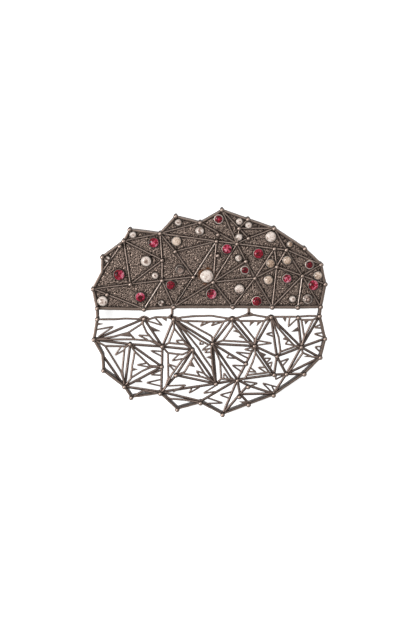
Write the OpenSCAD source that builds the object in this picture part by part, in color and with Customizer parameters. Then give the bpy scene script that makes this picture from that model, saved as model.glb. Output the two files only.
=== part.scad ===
// Round openwork brooch: a grainy silver plate above a slit and its mirror image in wire below it.
// X runs along the slit, Y up the brooch and Z towards the viewer. The brooch lies on its back:
// Z = 0 is the lowest point of the pin fitting, and the origin is under the middle of the brooch.

/* [Brooch] */
// Width over everything, along the slit
brooch_w = 59.3; // [56:0.1:66]
// Depth of the rim strip
rim_depth = 3; // [2.6:0.1:3.6]
// Thickness of the rim strip at the two ends of the slit
rim_t = 0.8; // [0.6:0.05:0.95]
// How far the pin fitting stands out behind the rim
pin_drop = 1.2; // [1:0.1:1.6]

/* [Solid half] */
// Thickness of the plate
plate_t = 0.8; // [0.7:0.1:1.1]
// How far the plate lies below the rim's front edge
plate_recess = 0.4; // [0.3:0.05:0.6]
// Width of a raised wire
raised_w = 0.5; // [0.4:0.05:0.7]
// Height of a raised wire above the plate
raised_h = 0.33; // [0.25:0.02:0.4]

/* [Open half] */
// Width of a wire in the net
net_w = 0.66; // [0.5:0.02:0.7]
// Height of the net
net_h = 0.46; // [0.4:0.02:0.48]
// Width of a wire in the front loops
loop_w = 0.5; // [0.4:0.02:0.6]
// Height of the front loops
loop_h = 0.56; // [0.4:0.02:0.7]
// Width of a thorn's wire
thorn_w = 0.46; // [0.34:0.02:0.5]
// Thickness of the two bridges over the slit
bridge_w = 0.75; // [0.6:0.05:1]

/* [Balls and settings] */
// Diameter of the ball on each joint
ball_d = 1.25; // [1.1:0.05:1.35]
// Diameter of the post under a ball
post_d = 1; // [0.8:0.05:1.05]
// Wall of a tube setting
setting_wall = 0.14; // [0.12:0.01:0.2]
// Height of the girdle of a stone above the plate
girdle_rise = 0.52; // [0.45:0.02:0.6]
// Gap between a stone and its setting
stone_gap = 0.03; // [0.03:0.01:0.06]

/* [Pin fitting] */
// Diameter of the pin stem
stem_d = 0.9; // [0.8:0.05:1.1]
// Distance from the hinge to the catch
pin_span = 33; // [28:1:36]
// Height of the pin line above the slit
pin_y = 8.5; // [7:0.5:10]

/* [Hidden] */

// The brooch is charted on squares of about a quarter of a millimetre, counted from the slit.
chart_w = 237.2;
square = brooch_w / chart_w;
// The chart is seen slightly from above: it leans against the slit by this angle, is drawn this much too short,
// and shrinks by this share for each millimetre down the brooch.
chart_lean = 0.66;
chart_stretch = 1.016;
chart_fade = 0.00047;
// The net and the front loops lie deeper than the rest, so on the chart they stand this far too high, in millimetres.
net_drop = 0.17;
loop_drop = 0.07;
// Middle of the brooch on the chart, in squares
chart_middle = [0.19, -0.95];

// Heights of the main levels
back_z = pin_drop;
front_z = back_z + rim_depth;
plate_top = front_z - plate_recess;
plate_back = plate_top - plate_t;
raised_top = plate_top + raised_h;
// The net lies level with the back of the plate and the front loops just over it, both held by the posts
net_z = plate_back;
loop_rise = 0.52;
loop_z = net_z + loop_rise;
loop_top = loop_z + loop_h;
// How much a filled thorn is grown over its outline
spike_edge = thorn_w / 4;
// Height of a ball's centre above the raised wires, and above the rim on the open half
ball_rise = 0.44;
open_ball_rise = 0.2;
girdle_z = plate_top + girdle_rise;
// How far a setting stands above the girdle of its stone
setting_lip = 0.14;
setting_top = girdle_z + setting_lip;
// The rim's strip is filed thinner towards the top and bottom: its outline is this share of its height there
rim_flatten = 0.988;
// How far a post on the rim stops short of the rim's back edge
post_short = 0.2;
// Diameter of the collar under a ball on the slit edge
collar_d = 1.4;
// Overlap where one level runs into the next
sink = 0.1;
// Thickness of the ribbons that the wires are grown from
hair = 0.005;
// How far a bore runs past the metal
over = 1;

// Inside of a setting, as shares of the radius of its seat: depth of the ledge, radius of the open back
ledge_share = 0.27;
back_share = 0.76;
// Cut of a stone, as shares of its radius
table_share = 0.58;
crown_share = 0.34;
girdle_share = 0.06;
pavilion_share = 0.84;
culet_share = 0.02;

// Pin fitting
pin_gap = 0.05;
foot_d = 4.4;
foot_t = 0.4;
cheek = [1.8, 0.5];
cheek_y = 0.95;
cheek_z = 0.3;
barrel_d = 1.8;
barrel_l = 2.7;
// Height of the stem's underside above the lowest point of the fitting
stem_rise = 0.35;
stem_z = stem_d / 2 + stem_rise;
stem_over = 1.1;
end_d = 0.5;
end_l = 1.5;
point_l = 2;
point_d = 0.2;
hook_l = 1.6;
hook_t = 0.6;

// Joints: x and y on the solid half, x and y on the open half, in squares.
// 0 to 15 run round the rim from the left end of the slit, and 2 is a bend without a ball.
// 16 to 20 lie along the slit, and 21 to 40 inside. A joint with two values is on the solid half alone.
JOINTS = [
    [-111.9, 4.4, -111.9, -6.5],
    [-116, 23.8, -115.2, -26.9],
    [-107, 41, -106.5, -42.5],
    [-106.7, 55.8, -105.7, -57.8],
    [-85.3, 71.9, -84.5, -74],
    [-79.3, 83.2, -77.8, -84.9],
    [-48.9, 79.3, -48.6, -80.8],
    [-33.4, 96.5, -31.7, -96.8],
    [-8.8, 90.2, -8.4, -90.2],
    [13, 102.9, 13.6, -102],
    [39.1, 93.5, 39.6, -92],
    [65.3, 84.4, 64.6, -82.6],
    [95.8, 64.1, 95.3, -61.3],
    [112.2, 48.1, 111.4, -44.8],
    [116.3, 28.6, 116.1, -26],
    [111.8, 6, 110.7, -3.4],
    [-65, 3.5, -65, -6],
    [-35.1, 5.8, -35.5, -6.5],
    [23.9, 5.8, 23.3, -6],
    [63.4, 5.6, 62.3, -4.5],
    [88.9, 5.4, 89.3, -5],
    [-46.9, 52.6, -47.2, -54],
    [-78.7, 28.5, -78.9, -31.5],
    [-46.9, 32.2, -46.7, -33.8],
    [-33.8, 61.3, -33, -62.5],
    [-15.6, 35.8, -16.3, -37],
    [7.5, 71.5, 7, -71],
    [8.8, 57.3],
    [28.1, 69, 28.5, -67.7],
    [30.2, 84.4, 30.4, -84],
    [39.5, 74.5, 39.2, -74],
    [9, 78.1],
    [4.3, 30.5, 3.7, -31],
    [37, 51.5, 37, -51],
    [46.1, 34.6, 45.8, -33.3],
    [65.6, 64, 65.3, -62],
    [77.5, 62.9, 77.5, -61.3],
    [67.9, 46, 68.1, -43.7],
    [93.6, 36.9, 92.5, -34.4],
    [-101.8, 18.3],
    [-89.1, 66.5]];
RIM_LAST = 15;
BEND = 2;
SLIT = [16, 17, 18, 19, 20];

// Wires from joint to joint, raised on the solid half and repeated as the net of the open half
WIRES = [
    [4, 22], [4, 21], [4, 6], [4, 2], [22, 21], [22, 1], [22, 23], [1, 16], [23, 16],
    [6, 21], [21, 23], [6, 24], [6, 26], [6, 8], [24, 26], [24, 25], [23, 25], [23, 17],
    [25, 17], [25, 26], [17, 32], [8, 28], [9, 28], [9, 29], [10, 29], [11, 29], [29, 30],
    [30, 11], [28, 30], [28, 29], [26, 28], [26, 32], [28, 32], [28, 33], [33, 32],
    [33, 34], [28, 35], [35, 36], [11, 36], [36, 13], [36, 38], [36, 37], [35, 37],
    [35, 34], [34, 37], [37, 38], [37, 19], [34, 18], [34, 19], [34, 32], [32, 18],
    [38, 19], [38, 20], [38, 15], [38, 13], [38, 14]];
// Wires of the open half alone
OPEN_WIRES = [[36, 12], [3, 4]];
// Where the net's joint lies beside the ball's post: joint, then x and y from the ball in squares
NET_ASIDE = [
    [6, 0.8, 1.6], [8, 0, 1.6], [10, 0, 1.6], [11, 0, 1.6], [28, 0, 0.8], [29, 0.6, 2.6], [30, 0, 1.2]];

// Front loops of the open half. A number stands for that joint, and a pair is a point in squares.
LOOPS = [
    [1, [-96, -24], [-81, -20], [-68, -11.5], 16],
    [1, [-76, -26.5], [-59, -28], 23],
    [[-80, -20.4], [-73.8, -27.2]],
    [16, [-66.4, -11], [-62.5, -19.7], [-56, -27], 23],
    [1, [-104, -33.3], [-84, -33.5], 22],
    [[-104, -33.3], [-95, -47.5], [-88, -59], [-85.5, -68], 4],
    [22, [-84.5, -35], [-86.7, -57.5], [-85.5, -68]],
    [22, [-74.3, -38.7], [-59.3, -52.9], 21],
    [[-74.3, -38.7], [-76.7, -52], [-78.3, -66], 4],
    [[-78, -65], [-65.6, -57.6], [-57.7, -54.5], 21],
    [5, [-65.6, -77.8], [-54, -79.8], 6],
    [17, [-34.8, -15.5], [-40.3, -30.2], 23],
    [[-40.3, -30.2], [-24, -31.5], 25],
    [[-34.8, -15.5], [-23, -30.7], 25],
    [17, [-22, -21], [-11, -34.7], [-6.3, -42.6], [3, -56], 26],
    [23, [-41.1, -40.2], [-26.9, -41.8], 25],
    [[-41.1, -40.2], [-40.7, -64.8], [-43.5, -75], 6],
    [25, [-26.9, -47.4], [-37.2, -61.6], [-42, -71]],
    [25, [-15.5, -44], [-24.5, -59.2], 24],
    [[-15.5, -44], [-4, -61.6], [3, -67.9], 26],
    [24, [-26, -60.8], [-7, -64], [3, -67.9]],
    [6, [-39, -86], [-25, -87], [-13, -89], 8],
    [17, [-27, -8], [-3, -8.8], [15.5, -8.6], 18],
    [[-27, -8], [-21.5, -10], [3, -23.6], 32],
    [[15, -8.8], [4.4, -26], 32],
    [17, [-26, -15], [-9, -27.5], [0, -32], 32],
    [32, [2, -35], [4, -57.4], [5.6, -67], 26],
    [32, [11, -48], [12.3, -66], 26],
    [[11, -48], [21.5, -64.5], [24, -66.6]],
    [[12.3, -66], [24, -66.6], 28],
    [18, [23.7, -14], [14, -27.8], 32],
    [[14, -27.8], [42, -29.5], 34],
    [[23.9, -12], [39, -29.4], 34],
    [18, [31, -8.2], [55.5, -8.2], 19],
    [[31, -8.2], [45.4, -26], 34],
    [[55.3, -8.4], [47, -25.5], 34],
    [34, [46.6, -40], [43.8, -49.4], [36, -66], 28],
    [[46.8, -40.5], [60.6, -60.2], 35],
    [[38, -62.4], [60.6, -59.6]],
    [19, [69.7, -24], [71.7, -39], 37],
    [19, [69.3, -15], [75.7, -22.3], [85.3, -32.7], 38],
    [20, [92.9, -7.1], [104.4, -7.1], 15],
    [[92.7, -7.4], [95.4, -24], 38],
    [[104.4, -7.1], [95.8, -24], 38],
    [[71.7, -39], [87, -33.5], 38],
    [38, [94, -40], [83.5, -55], 36],
    [[94, -40], [103, -44], 13],
    [[-70, -6.3], [-67.5, -4.4], [-65, -3.6], [-62, -4.5], [-59.5, -7]],
    [[-41, -4.6], [-35.3, -3.9], [-31.5, -4.9], [-27, -8]],
    [[15.5, -8.6], [19.5, -5.6], [23.3, -3.6], [27.3, -5.2], [31, -8.2]],
    [[55.4, -8.3], [58.5, -4.8], [62.1, -2], [66, -4.6], [69.7, -12.8], [70.5, -16.5]]];

// The wire along the slit edge of the open half, as points and joints
EDGE = [
    0, [-96, -6.5], [-83, -5.8], [-72, -6.2], 16, [-62, -7], [-53, -4.3], [-41, -4.6], 17,
    [-27, -4.5], [-14, -3.3], [3, -3], [17, -5.3], 18, [31, -4.3], [37, -2], [43, -1.8],
    [56, -4.2], 19, [67, -4], [88, -4], [101, -3], 15];

// Bridges over the slit, from the solid half down to the edge wire, and their splayed feet
BRIDGES = [
    [[-36.8, 5], [-36.8, -1], [-38, -5]],
    [[40, 5], [40, -2.4]]];
BRIDGE_FEET = [
    [[-42.5, -4.8], [-37, 0], [-35.5, -6]],
    [[32, -4.6], [40, 1.5], [48, -2.8]]];

// V-shaped thorns of two wires on the front loops: tip, then the foot of each wire
FORKS = [
    [[-95.5, -13.7], [-113, -17], [-110.5, -23.8]],
    [[-71.2, -22.4], [-58.5, -23], [-61.5, -26.8]],
    [[-94.1, -42.6], [-87.8, -33.5], [-84.5, -37]],
    [[-72.4, -52.1], [-62, -50.4], [-58.5, -54.5]],
    [[-46.7, -12.7], [-54, -5], [-62, -8]],
    [[-33.2, -27.6], [-25.5, -27.5], [-29.3, -31]],
    [[-37.2, -48.1], [-30, -41.6], [-25.6, -45.8]],
    [[-40.8, -51.3], [-31.5, -54.5], [-34.5, -58]],
    [[-22.9, -72.3], [-43, -73.2], [-36, -79]],
    [[-5.9, -80.6], [6.5, -73], [9, -78.5]],
    [[-13, -58], [-5.2, -60.6], [-8.7, -63.6]],
    [[-9, -13.5], [-5, -8.8], [1.5, -8.8]],
    [[2, -13.2], [6, -8.8], [13.5, -9]],
    [[-9.5, -31.5], [-8, -27.8], [-5, -31.2]],
    [[-7.1, -37.5], [-0.5, -32.2], [1.8, -35.6]],
    [[-4.4, -39.8], [-0.5, -35.8], [2.6, -39.4]],
    [[35.2, -36.6], [44.5, -34.5], [45, -38.8]],
    [[15, -60], [14.6, -66.2], [19.6, -66.4]],
    [[47.4, -59.4], [41.6, -55], [38.2, -58.6]],
    [[49, -54.6], [56.6, -54.6], [58, -60.2]],
    [[63.4, -30.4], [47, -27.5], [46.5, -32.6]],
    [[76.1, -31.1], [80, -27.4], [85, -32.6]],
    [[79.5, -14], [81, -4], [88, -6]],
    [[105.2, -14.8], [112, -11.6], [113.8, -15.4]],
    [[105.2, -21.1], [114.6, -19.8], [115, -24.4]],
    [[106, -34], [114.4, -33.6], [112.6, -40.6]]];

// V-shaped thorns on the net
NET_FORKS = [
    [[-58.5, -37.9], [-46.9, -38.7], [-47, -43.8]],
    [[-58.5, -62], [-48.5, -57.6], [-47.5, -62.6]],
    [[-62.9, -70.1], [-47.6, -66.7], [-48, -73.4]],
    [[-20.2, -80.6], [-17.4, -76], [-9.5, -74.6]],
    [[26.6, -39.4], [42.3, -41], [40, -46]],
    [[17.5, -45], [20.8, -41], [28.4, -45.8]],
    [[23.2, -52.6], [36.6, -53.2], [34, -60]],
    [[62.2, -45.6], [54.6, -45.6], [57.4, -50]],
    [[63.4, -49.2], [58, -51.5], [61, -57]],
    [[57, -21.1], [64.6, -19.5], [65.2, -24]],
    [[80.1, -45.8], [71, -49.3], [73.5, -53.5]],
    [[66.6, -66.9], [67.5, -62], [75.5, -62.3]],
    [[11, -82.3], [23.4, -79], [20.2, -85.6]],
    [[14, -90.4], [-1, -85.4], [-6.5, -91]],
    [[53.6, -70.4], [68.4, -74.4], [63.6, -80]],
    [[49, -70.7], [35, -68.6], [37, -74.6]],
    [[66.4, -80], [63.2, -73.9], [70.4, -73.6]]];

// Filled thorns on the front loops: tip, then the two corners of the foot
SPIKES = [
    [[-105.5, -11], [-113.5, -9.6], [-113.5, -13.4]],
    [[-91.5, -22.8], [-79.8, -20.2], [-78.6, -24]],
    [[-71.2, -56.7], [-77.4, -54.6], [-78, -58.6]],
    [[-42.3, -8.8], [-48.5, -4.6], [-42, -4.6]],
    [[-13.8, -54.5], [-20, -53], [-17.4, -47.6]],
    [[-3, -44.5], [2.6, -42.6], [3, -46.6]],
    [[23.5, -18.3], [28, -16.6], [32, -21]],
    [[29.3, -24], [32.5, -22], [37.6, -27.4]],
    [[40.5, -13.7], [41, -8.4], [46.5, -8.4]],
    [[47.5, -13.7], [48.5, -8.4], [53.5, -8.4]],
    [[73.3, -26.5], [77, -23.6], [81.5, -28.6]],
    [[76.5, -9.5], [73, -4.2], [78, -4.2]],
    [[96.5, -12], [95, -7.4], [100.5, -7.4]],
    [[94.5, -44.2], [100, -42.4], [106, -44.6]],
    [[30, -88.7], [37, -92], [43, -88.4]]];

// Filled thorns on the net
NET_SPIKES = [
    [[-47.8, -18.6], [-59.5, -12.8], [-54.7, -18.8]],
    [[-66.4, -69.5], [-79, -69.6], [-71, -65.4]],
    [[57.8, -41.8], [50.4, -38.6], [53, -46]],
    [[82.3, -19.2], [88.8, -14.2], [90.6, -18.4]]];

// Stones: x and y in squares, then the outside diameter of the setting in millimetres
RUBIES = [
    [-55.4, 70.3, 2.69], [-90, 38.1, 2.95], [-68.7, 15.7, 2.69], [-38.3, 27.8, 2.42],
    [9.7, 93.7, 2.42], [18, 63.8, 2.64], [49.5, 59.2, 2.7], [36, 42.7, 2.25],
    [2.5, 18.9, 2.75], [47.9, 11.6, 2.65], [78.1, 34.4, 2.4], [100.6, 48.1, 2.3],
    [104.3, 27.8, 2.8]];
DIAMONDS = [
    [-30.6, 90.4, 1.7], [-76, 78, 1.7], [-101.5, 53.5, 1.6], [-62.9, 51.6, 2.65],
    [-32.5, 71.6, 2.45], [-53.8, 37.1, 1.7], [-106.3, 11.7, 2.6], [-29, 43.5, 2.25],
    [-47.5, 9.5, 1.6], [-9.2, 82, 2.2], [-2.1, 36.6, 3.3], [30.6, 23.6, 2.45],
    [29.6, 54.6, 1.7], [30.2, 75.6, 1.8], [30.5, 91.3, 1.7], [39.8, 87.6, 1.75],
    [62, 76, 2.7], [81.1, 68.6, 1.6], [78.2, 52.4, 2.3], [61.6, 49.3, 2.3],
    [59.5, 32.8, 2.35], [83.8, 13.7, 1.7], [98.8, 13.7, 2.4], [109.2, 37.3, 2.2]];

// A point of the chart in millimetres
function at(p) =
    let (u = (p[0] - chart_middle[0]) * square, v = (p[1] - chart_middle[1]) * square,
        across = u * cos(chart_lean) + v * sin(chart_lean),
        up = (v * cos(chart_lean) - u * sin(chart_lean)) * chart_stretch,
        y = up / (1 + up * chart_fade))
    [across * (1 - y * chart_fade), y];
function solid_joint(k) = at([JOINTS[k][0], JOINTS[k][1]]);
function open_joint(k) = at([JOINTS[k][2], JOINTS[k][3]]);
// Where the net meets at a joint of the open half
function net_joint(k) =
    let (row = search(k, NET_ASIDE), shift = row == [] ? [0, 0, 0] : NET_ASIDE[row[0]])
    at([JOINTS[k][2] + shift[1], JOINTS[k][3] + shift[2]]);
function has_mirror(k) = len(JOINTS[k]) == 4;
function on_plate(k) = k > SLIT[len(SLIT) - 1];
// A stop on a loop of the open half: a joint's number or a point of the chart
function stop(s) = is_num(s) ? open_joint(s) : at(s);
function path(stops) = [for (s = stops) stop(s)];

solid_rim = [for (k = [0:RIM_LAST]) solid_joint(k)];
open_rim = [for (k = [RIM_LAST:-1:0]) open_joint(k)];
slit_edge = [for (k = [len(SLIT) - 1:-1:0]) solid_joint(SLIT[k])];

// Unit vector square to the run of the points at one of them
function aside(points, i) =
    let (run = points[min(i + 1, len(points) - 1)] - points[max(i - 1, 0)])
    [-run[1], run[0]] / norm(run);

// A hair-thin ribbon along the points, out and back, that a wire is grown from
module ribbon(points) {
    last = len(points) - 1;
    polygon(concat(points, [for (i = [last:-1:0]) points[i] + hair * aside(points, i)]));
}

// Grows ribbons or a flat shape to bars, with sharp corners or blunt ones
module grown(width, blunt = false) {
    offset(delta = width / 2, chamfer = blunt) children();
}

module slab(z0, z1) {
    translate([0, 0, z0]) linear_extrude(z1 - z0) children();
}

// Joint post and its ball
module ball_post(p, z0, z1) {
    translate([p[0], p[1], z0]) cylinder(d = post_d, h = z1 - z0, $fn = 32);
    translate([p[0], p[1], z1]) sphere(d = ball_d, $fn = 32);
}

// Deep strip round both halves, and a second one along the slit edge of the solid half
module rim() {
    slab(back_z, front_z) difference() {
        scale([1, rim_flatten]) offset(delta = rim_t / 2) polygon(concat(solid_rim, open_rim));
        offset(delta = -rim_t / 2) polygon(concat(solid_rim, open_rim));
    }
    slab(back_z + sink / 2, front_z - sink / 2) grown(rim_t)
        ribbon(concat([solid_joint(RIM_LAST)], slit_edge, [solid_joint(0)]));
}

module raised_wires() {
    slab(plate_top - sink, raised_top) grown(raised_w)
        for (w = WIRES) ribbon([solid_joint(w[0]), solid_joint(w[1])]);
}

// Tube settings as full rods, to be bored by seats()
module setting_rods() {
    root = plate_top - sink / 2;
    for (s = concat(RUBIES, DIAMONDS))
        translate([at(s)[0], at(s)[1], root]) cylinder(d = s[2], h = setting_top - root, $fn = 48);
}

// The bore of each setting: a seat for the stone with a ledge under its girdle, and an open back
module seats() {
    for (s = concat(RUBIES, DIAMONDS)) {
        seat_r = s[2] / 2 - setting_wall;
        ledge = girdle_z - ledge_share * seat_r;
        translate([at(s)[0], at(s)[1], ledge])
            cylinder(r = seat_r, h = setting_top - ledge + over, $fn = 48);
        translate([at(s)[0], at(s)[1], plate_back - over])
            cylinder(r = back_share * seat_r, h = setting_top - plate_back + over, $fn = 48);
    }
}

module plate_with_settings() {
    difference() {
        union() {
            slab(plate_back, plate_top) polygon(concat(solid_rim, slit_edge));
            raised_wires();
            setting_rods();
        }
        seats();
    }
}

// Wires and thorns of the net
module net() {
    slab(net_z, net_z + net_h) translate([0, -net_drop]) offset(delta = 0) {
        grown(net_w) for (w = concat(WIRES, OPEN_WIRES)) ribbon([net_joint(w[0]), net_joint(w[1])]);
        thorns(NET_FORKS, NET_SPIKES);
    }
}

module thorns(forks, spikes) {
    grown(thorn_w, true) for (f = forks) ribbon([at(f[1]), at(f[0]), at(f[2])]);
    grown(spike_edge) for (s = spikes) polygon([for (p = s) at(p)]);
}

// Loops, thorns, edge wire and bridges in one layer over the net
module front_layer() {
    slab(loop_z, loop_top) translate([0, -loop_drop]) offset(delta = 0) {
        grown(loop_w) {
            for (l = LOOPS) ribbon(path(l));
            ribbon(path(EDGE));
        }
        thorns(FORKS, concat(SPIKES, BRIDGE_FEET));
        grown(bridge_w) for (b = BRIDGES) ribbon(path(b));
    }
}

module ball_posts() {
    for (k = [0:len(JOINTS) - 1]) if (k != BEND) {
        ball_post(solid_joint(k), on_plate(k) ? plate_top - sink : back_z + post_short,
            raised_top + ball_rise);
        if (has_mirror(k))
            ball_post(open_joint(k), k > RIM_LAST ? net_z + sink / 2 : back_z + post_short,
                front_z + open_ball_rise);
    }
    for (k = SLIT)
        translate([solid_joint(k)[0], solid_joint(k)[1], plate_back + sink / 2])
            cylinder(d = collar_d, h = raised_top - plate_back, $fn = 32);
}

module silver_frame() {
    color([0.46, 0.41, 0.38]) {
        plate_with_settings();
        rim();
        net();
        front_layer();
        ball_posts();
    }
}

// Round stone with an eight-sided table, eight crown facets and eight pavilion facets
module stone(s) {
    r = s[2] / 2 - setting_wall - stone_gap;
    girdle = girdle_share * r;
    translate([at(s)[0], at(s)[1], girdle_z]) {
        translate([0, 0, girdle]) cylinder(r1 = r, r2 = table_share * r, h = crown_share * r, $fn = 8);
        cylinder(r = r, h = girdle + hair / 2, $fn = 8);
        translate([0, 0, -pavilion_share * r])
            cylinder(r1 = culet_share * r, r2 = r, h = pavilion_share * r + hair / 4, $fn = 8);
    }
}

module ruby(k) {
    color([0.62, 0.08, 0.2]) stone(RUBIES[k]);
}

module diamond(k) {
    color([0.93, 0.9, 0.86]) stone(DIAMONDS[k]);
}

// Hinge block, stem and catch in one piece, against the back of the plate
module pin_fitting() {
    hinge_x = -pin_span / 2;
    catch_x = pin_span / 2;
    top = plate_back - pin_gap;
    color([0.55, 0.5, 0.46]) {
        for (x = [hinge_x, catch_x])
            translate([x, pin_y, top - foot_t]) cylinder(d = foot_d, h = foot_t, $fn = 48);
        // Two cheeks with the barrel between them
        for (side = [-1, 1])
            translate([hinge_x - cheek[0] / 2, pin_y + side * cheek_y - cheek[1] / 2, cheek_z])
                cube([cheek[0], cheek[1], top - foot_t / 2 - cheek_z]);
        translate([hinge_x, pin_y + barrel_l / 2, barrel_d / 2]) rotate([90, 0, 0])
            cylinder(d = barrel_d, h = barrel_l, $fn = 32);
        // Stem with a thinner end and a short point
        translate([hinge_x, pin_y, stem_z]) rotate([0, 90, 0]) {
            cylinder(d = stem_d, h = pin_span + stem_over, $fn = 32);
            cylinder(d = end_d, h = pin_span + stem_over + end_l + hair, $fn = 32);
            translate([0, 0, pin_span + stem_over + end_l])
                cylinder(d1 = end_d, d2 = point_d, h = point_l, $fn = 32);
        }
        // Hook of the catch, round the stem from above and behind
        translate([catch_x - hook_l / 2, pin_y + hook_t - hook_t / 3, hook_t - sink])
            cube([hook_l, hook_t, top - foot_t / 2 - hook_t + sink]);
        translate([catch_x - hook_l / 2, pin_y - hook_t, 0])
            cube([hook_l, 2 * hook_t + hook_t * 2 / 3, hook_t]);
    }
}

silver_frame();
pin_fitting();
for (k = [1:13]) ruby(k - 1);
for (k = [1:24]) diamond(k - 1);
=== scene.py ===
# %% [markdown]
# A round brooch of darkened silver, about 59 mm wide. A straight slit cuts it in two: a grainy plate with stones
# above, and the plate's mirror image in open wire below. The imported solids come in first, and every later piece
# is made in metres in their frame: X along the slit, Y up the brooch, Z out of its front. The box of the solids is
# kept, because the finished piece has to stay inside it.

# %% Load the solids and keep their box
import math
import random
import bpy
import bmesh
from mathutils import Matrix, Vector, noise


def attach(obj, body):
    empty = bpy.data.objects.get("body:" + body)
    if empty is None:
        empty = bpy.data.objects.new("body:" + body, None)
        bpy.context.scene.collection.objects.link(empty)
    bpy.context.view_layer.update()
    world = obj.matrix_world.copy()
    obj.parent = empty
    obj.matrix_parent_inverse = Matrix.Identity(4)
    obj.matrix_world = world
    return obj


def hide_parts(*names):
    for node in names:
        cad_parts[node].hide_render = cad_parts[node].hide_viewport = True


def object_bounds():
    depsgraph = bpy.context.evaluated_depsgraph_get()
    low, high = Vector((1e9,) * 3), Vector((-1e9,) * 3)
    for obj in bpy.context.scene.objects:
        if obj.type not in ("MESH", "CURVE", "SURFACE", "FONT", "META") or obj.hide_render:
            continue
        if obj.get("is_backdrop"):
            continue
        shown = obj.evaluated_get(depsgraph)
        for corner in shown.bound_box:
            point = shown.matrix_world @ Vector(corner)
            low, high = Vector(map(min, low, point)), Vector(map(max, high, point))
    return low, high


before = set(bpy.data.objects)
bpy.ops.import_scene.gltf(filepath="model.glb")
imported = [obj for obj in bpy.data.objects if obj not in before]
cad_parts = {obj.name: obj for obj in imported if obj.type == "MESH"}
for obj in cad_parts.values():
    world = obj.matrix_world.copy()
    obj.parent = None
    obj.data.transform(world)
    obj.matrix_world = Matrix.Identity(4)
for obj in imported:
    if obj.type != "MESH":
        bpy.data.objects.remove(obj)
cad_box = [list(corner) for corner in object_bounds()]
MM = 0.001
print("nodes:", len(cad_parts), "box in mm:", [[round(v / MM, 2) for v in corner] for corner in cad_box])


# %% [markdown]
# Colours are written as the hex values that a picture of the piece would show. The shaders want linear light, so
# one function turns the one into the other. The others are short ways to add nodes, materials, meshes and objects.

# %% Helpers for colours, nodes and objects
def linear(hex_value):
    channels = [int(hex_value[i:i + 2], 16) / 255 for i in (1, 3, 5)]
    return [c / 12.92 if c <= 0.04045 else ((c + 0.055) / 1.055) ** 2.4 for c in channels] + [1.0]


def feed(tree, node, inputs):
    """Fills a node's inputs, by name or number, with a socket, a node's first output or a plain value."""
    for name, value in inputs.items():
        if isinstance(value, bpy.types.Node):
            value = value.outputs[0]
        if isinstance(value, bpy.types.NodeSocket):
            tree.links.new(value, node.inputs[name])
        else:
            node.inputs[name].default_value = value


def add(tree, kind, inputs=None, **settings):
    """Adds a node with its settings and feeds it."""
    node = tree.nodes.new(kind)
    for name, value in settings.items():
        setattr(node, name, value)
    feed(tree, node, inputs or {})
    return node


def maths(tree, operation, *values):
    return add(tree, "ShaderNodeMath", dict(enumerate(values)), operation=operation)


def mixed(tree, share, first, second):
    """The colour between two colours."""
    return add(tree, "ShaderNodeMix", {0: share, 6: first, 7: second}, data_type="RGBA").outputs[2]


def surfaced(name):
    """A new material, its node tree and its shader."""
    material = bpy.data.materials.new(name)
    material.use_nodes = True
    return material, material.node_tree, material.node_tree.nodes["Principled BSDF"]


def outwards(work):
    bmesh.ops.recalc_face_normals(work, faces=work.faces)


def as_mesh(work, name, metal):
    """Ends the work on a bmesh: it becomes a mesh of this metal."""
    mesh = bpy.data.meshes.new(name)
    work.to_mesh(mesh)
    work.free()
    mesh.materials.append(metal)
    return mesh


def turn_outwards(mesh):
    work = bmesh.new()
    work.from_mesh(mesh)
    outwards(work)
    work.to_mesh(mesh)
    work.free()


def placed(name, data):
    """Puts an object with this data into the scene."""
    made = bpy.data.objects.new(name, data)
    bpy.context.scene.collection.objects.link(made)
    return made


# %% [markdown]
# The photograph is taken by a long lens from a little above the brooch's upper edge, with the brooch flat. The
# camera here stands 0.38 m away and 9.9 degrees off the vertical. It is rolled by under a degree, because the slit
# climbs slightly to the right.

# %% Camera
target = Vector((-0.291, 0.466, 4.3)) * MM
tilt, roll, distance = math.radians(9.89), math.radians(-0.662), 0.38
camera_data = bpy.data.cameras.new("photo_lens")
camera_data.lens, camera_data.sensor_width, camera_data.clip_start = 87.67, 36, 0.01
camera = placed("photo_camera", camera_data)
camera.location = target + Vector((0, math.sin(tilt), math.cos(tilt))) * distance
camera.rotation_euler = (Matrix.Rotation(-tilt, 3, "X") @ Matrix.Rotation(roll, 3, "Z")).to_euler()
bpy.context.scene.camera = camera
print("camera at", [round(v, 4) for v in camera.location])

# %% [markdown]
# The brooch lies on white paper that glows, as on a light table, so that the open half reads as a drawing on white.
# The key is a large soft light on the left, and a weaker one stands beyond the upper edge. Wires that run up and down
# mirror the key on their left side, wires that run across catch little of it, and the room fills the rest evenly.

# %% Paper and lights
bpy.context.scene.view_settings.view_transform = "Standard"
paper_mesh = bpy.data.meshes.new("paper")
paper_mesh.from_pydata([(-1.5, -1.5, 0), (1.5, -1.5, 0), (1.5, 1.5, 0), (-1.5, 1.5, 0)], [], [(0, 1, 2, 3)])
paper = placed("paper", paper_mesh)
white_paper, tree, shader = surfaced("white_paper")
feed(tree, shader, {"Base Color": linear("#f4f4f4"), "Roughness": 0.9, "Emission Color": linear("#ffffff"),
                    "Emission Strength": 0.8})
paper_mesh.materials.append(white_paper)
paper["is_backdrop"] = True


def softbox(name, place, size, watts):
    data = bpy.data.lights.new(name, "AREA")
    data.shape, data.size, data.energy = "SQUARE", size, watts
    lamp = placed(name, data)
    lamp.location = place
    lamp.rotation_euler = (-Vector(place)).to_track_quat("-Z", "Y").to_euler()


softbox("key_softbox", (-0.58, 0.05, 0.48), 0.4, 5)
softbox("top_softbox", (0.1, 0.45, 0.6), 0.4, 1.6)
studio = bpy.data.worlds.new("studio")
studio.use_nodes = True
feed(studio.node_tree, studio.node_tree.nodes["Background"], {"Color": linear("#ffffff"), "Strength": 0.3})
bpy.context.scene.world = studio

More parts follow.
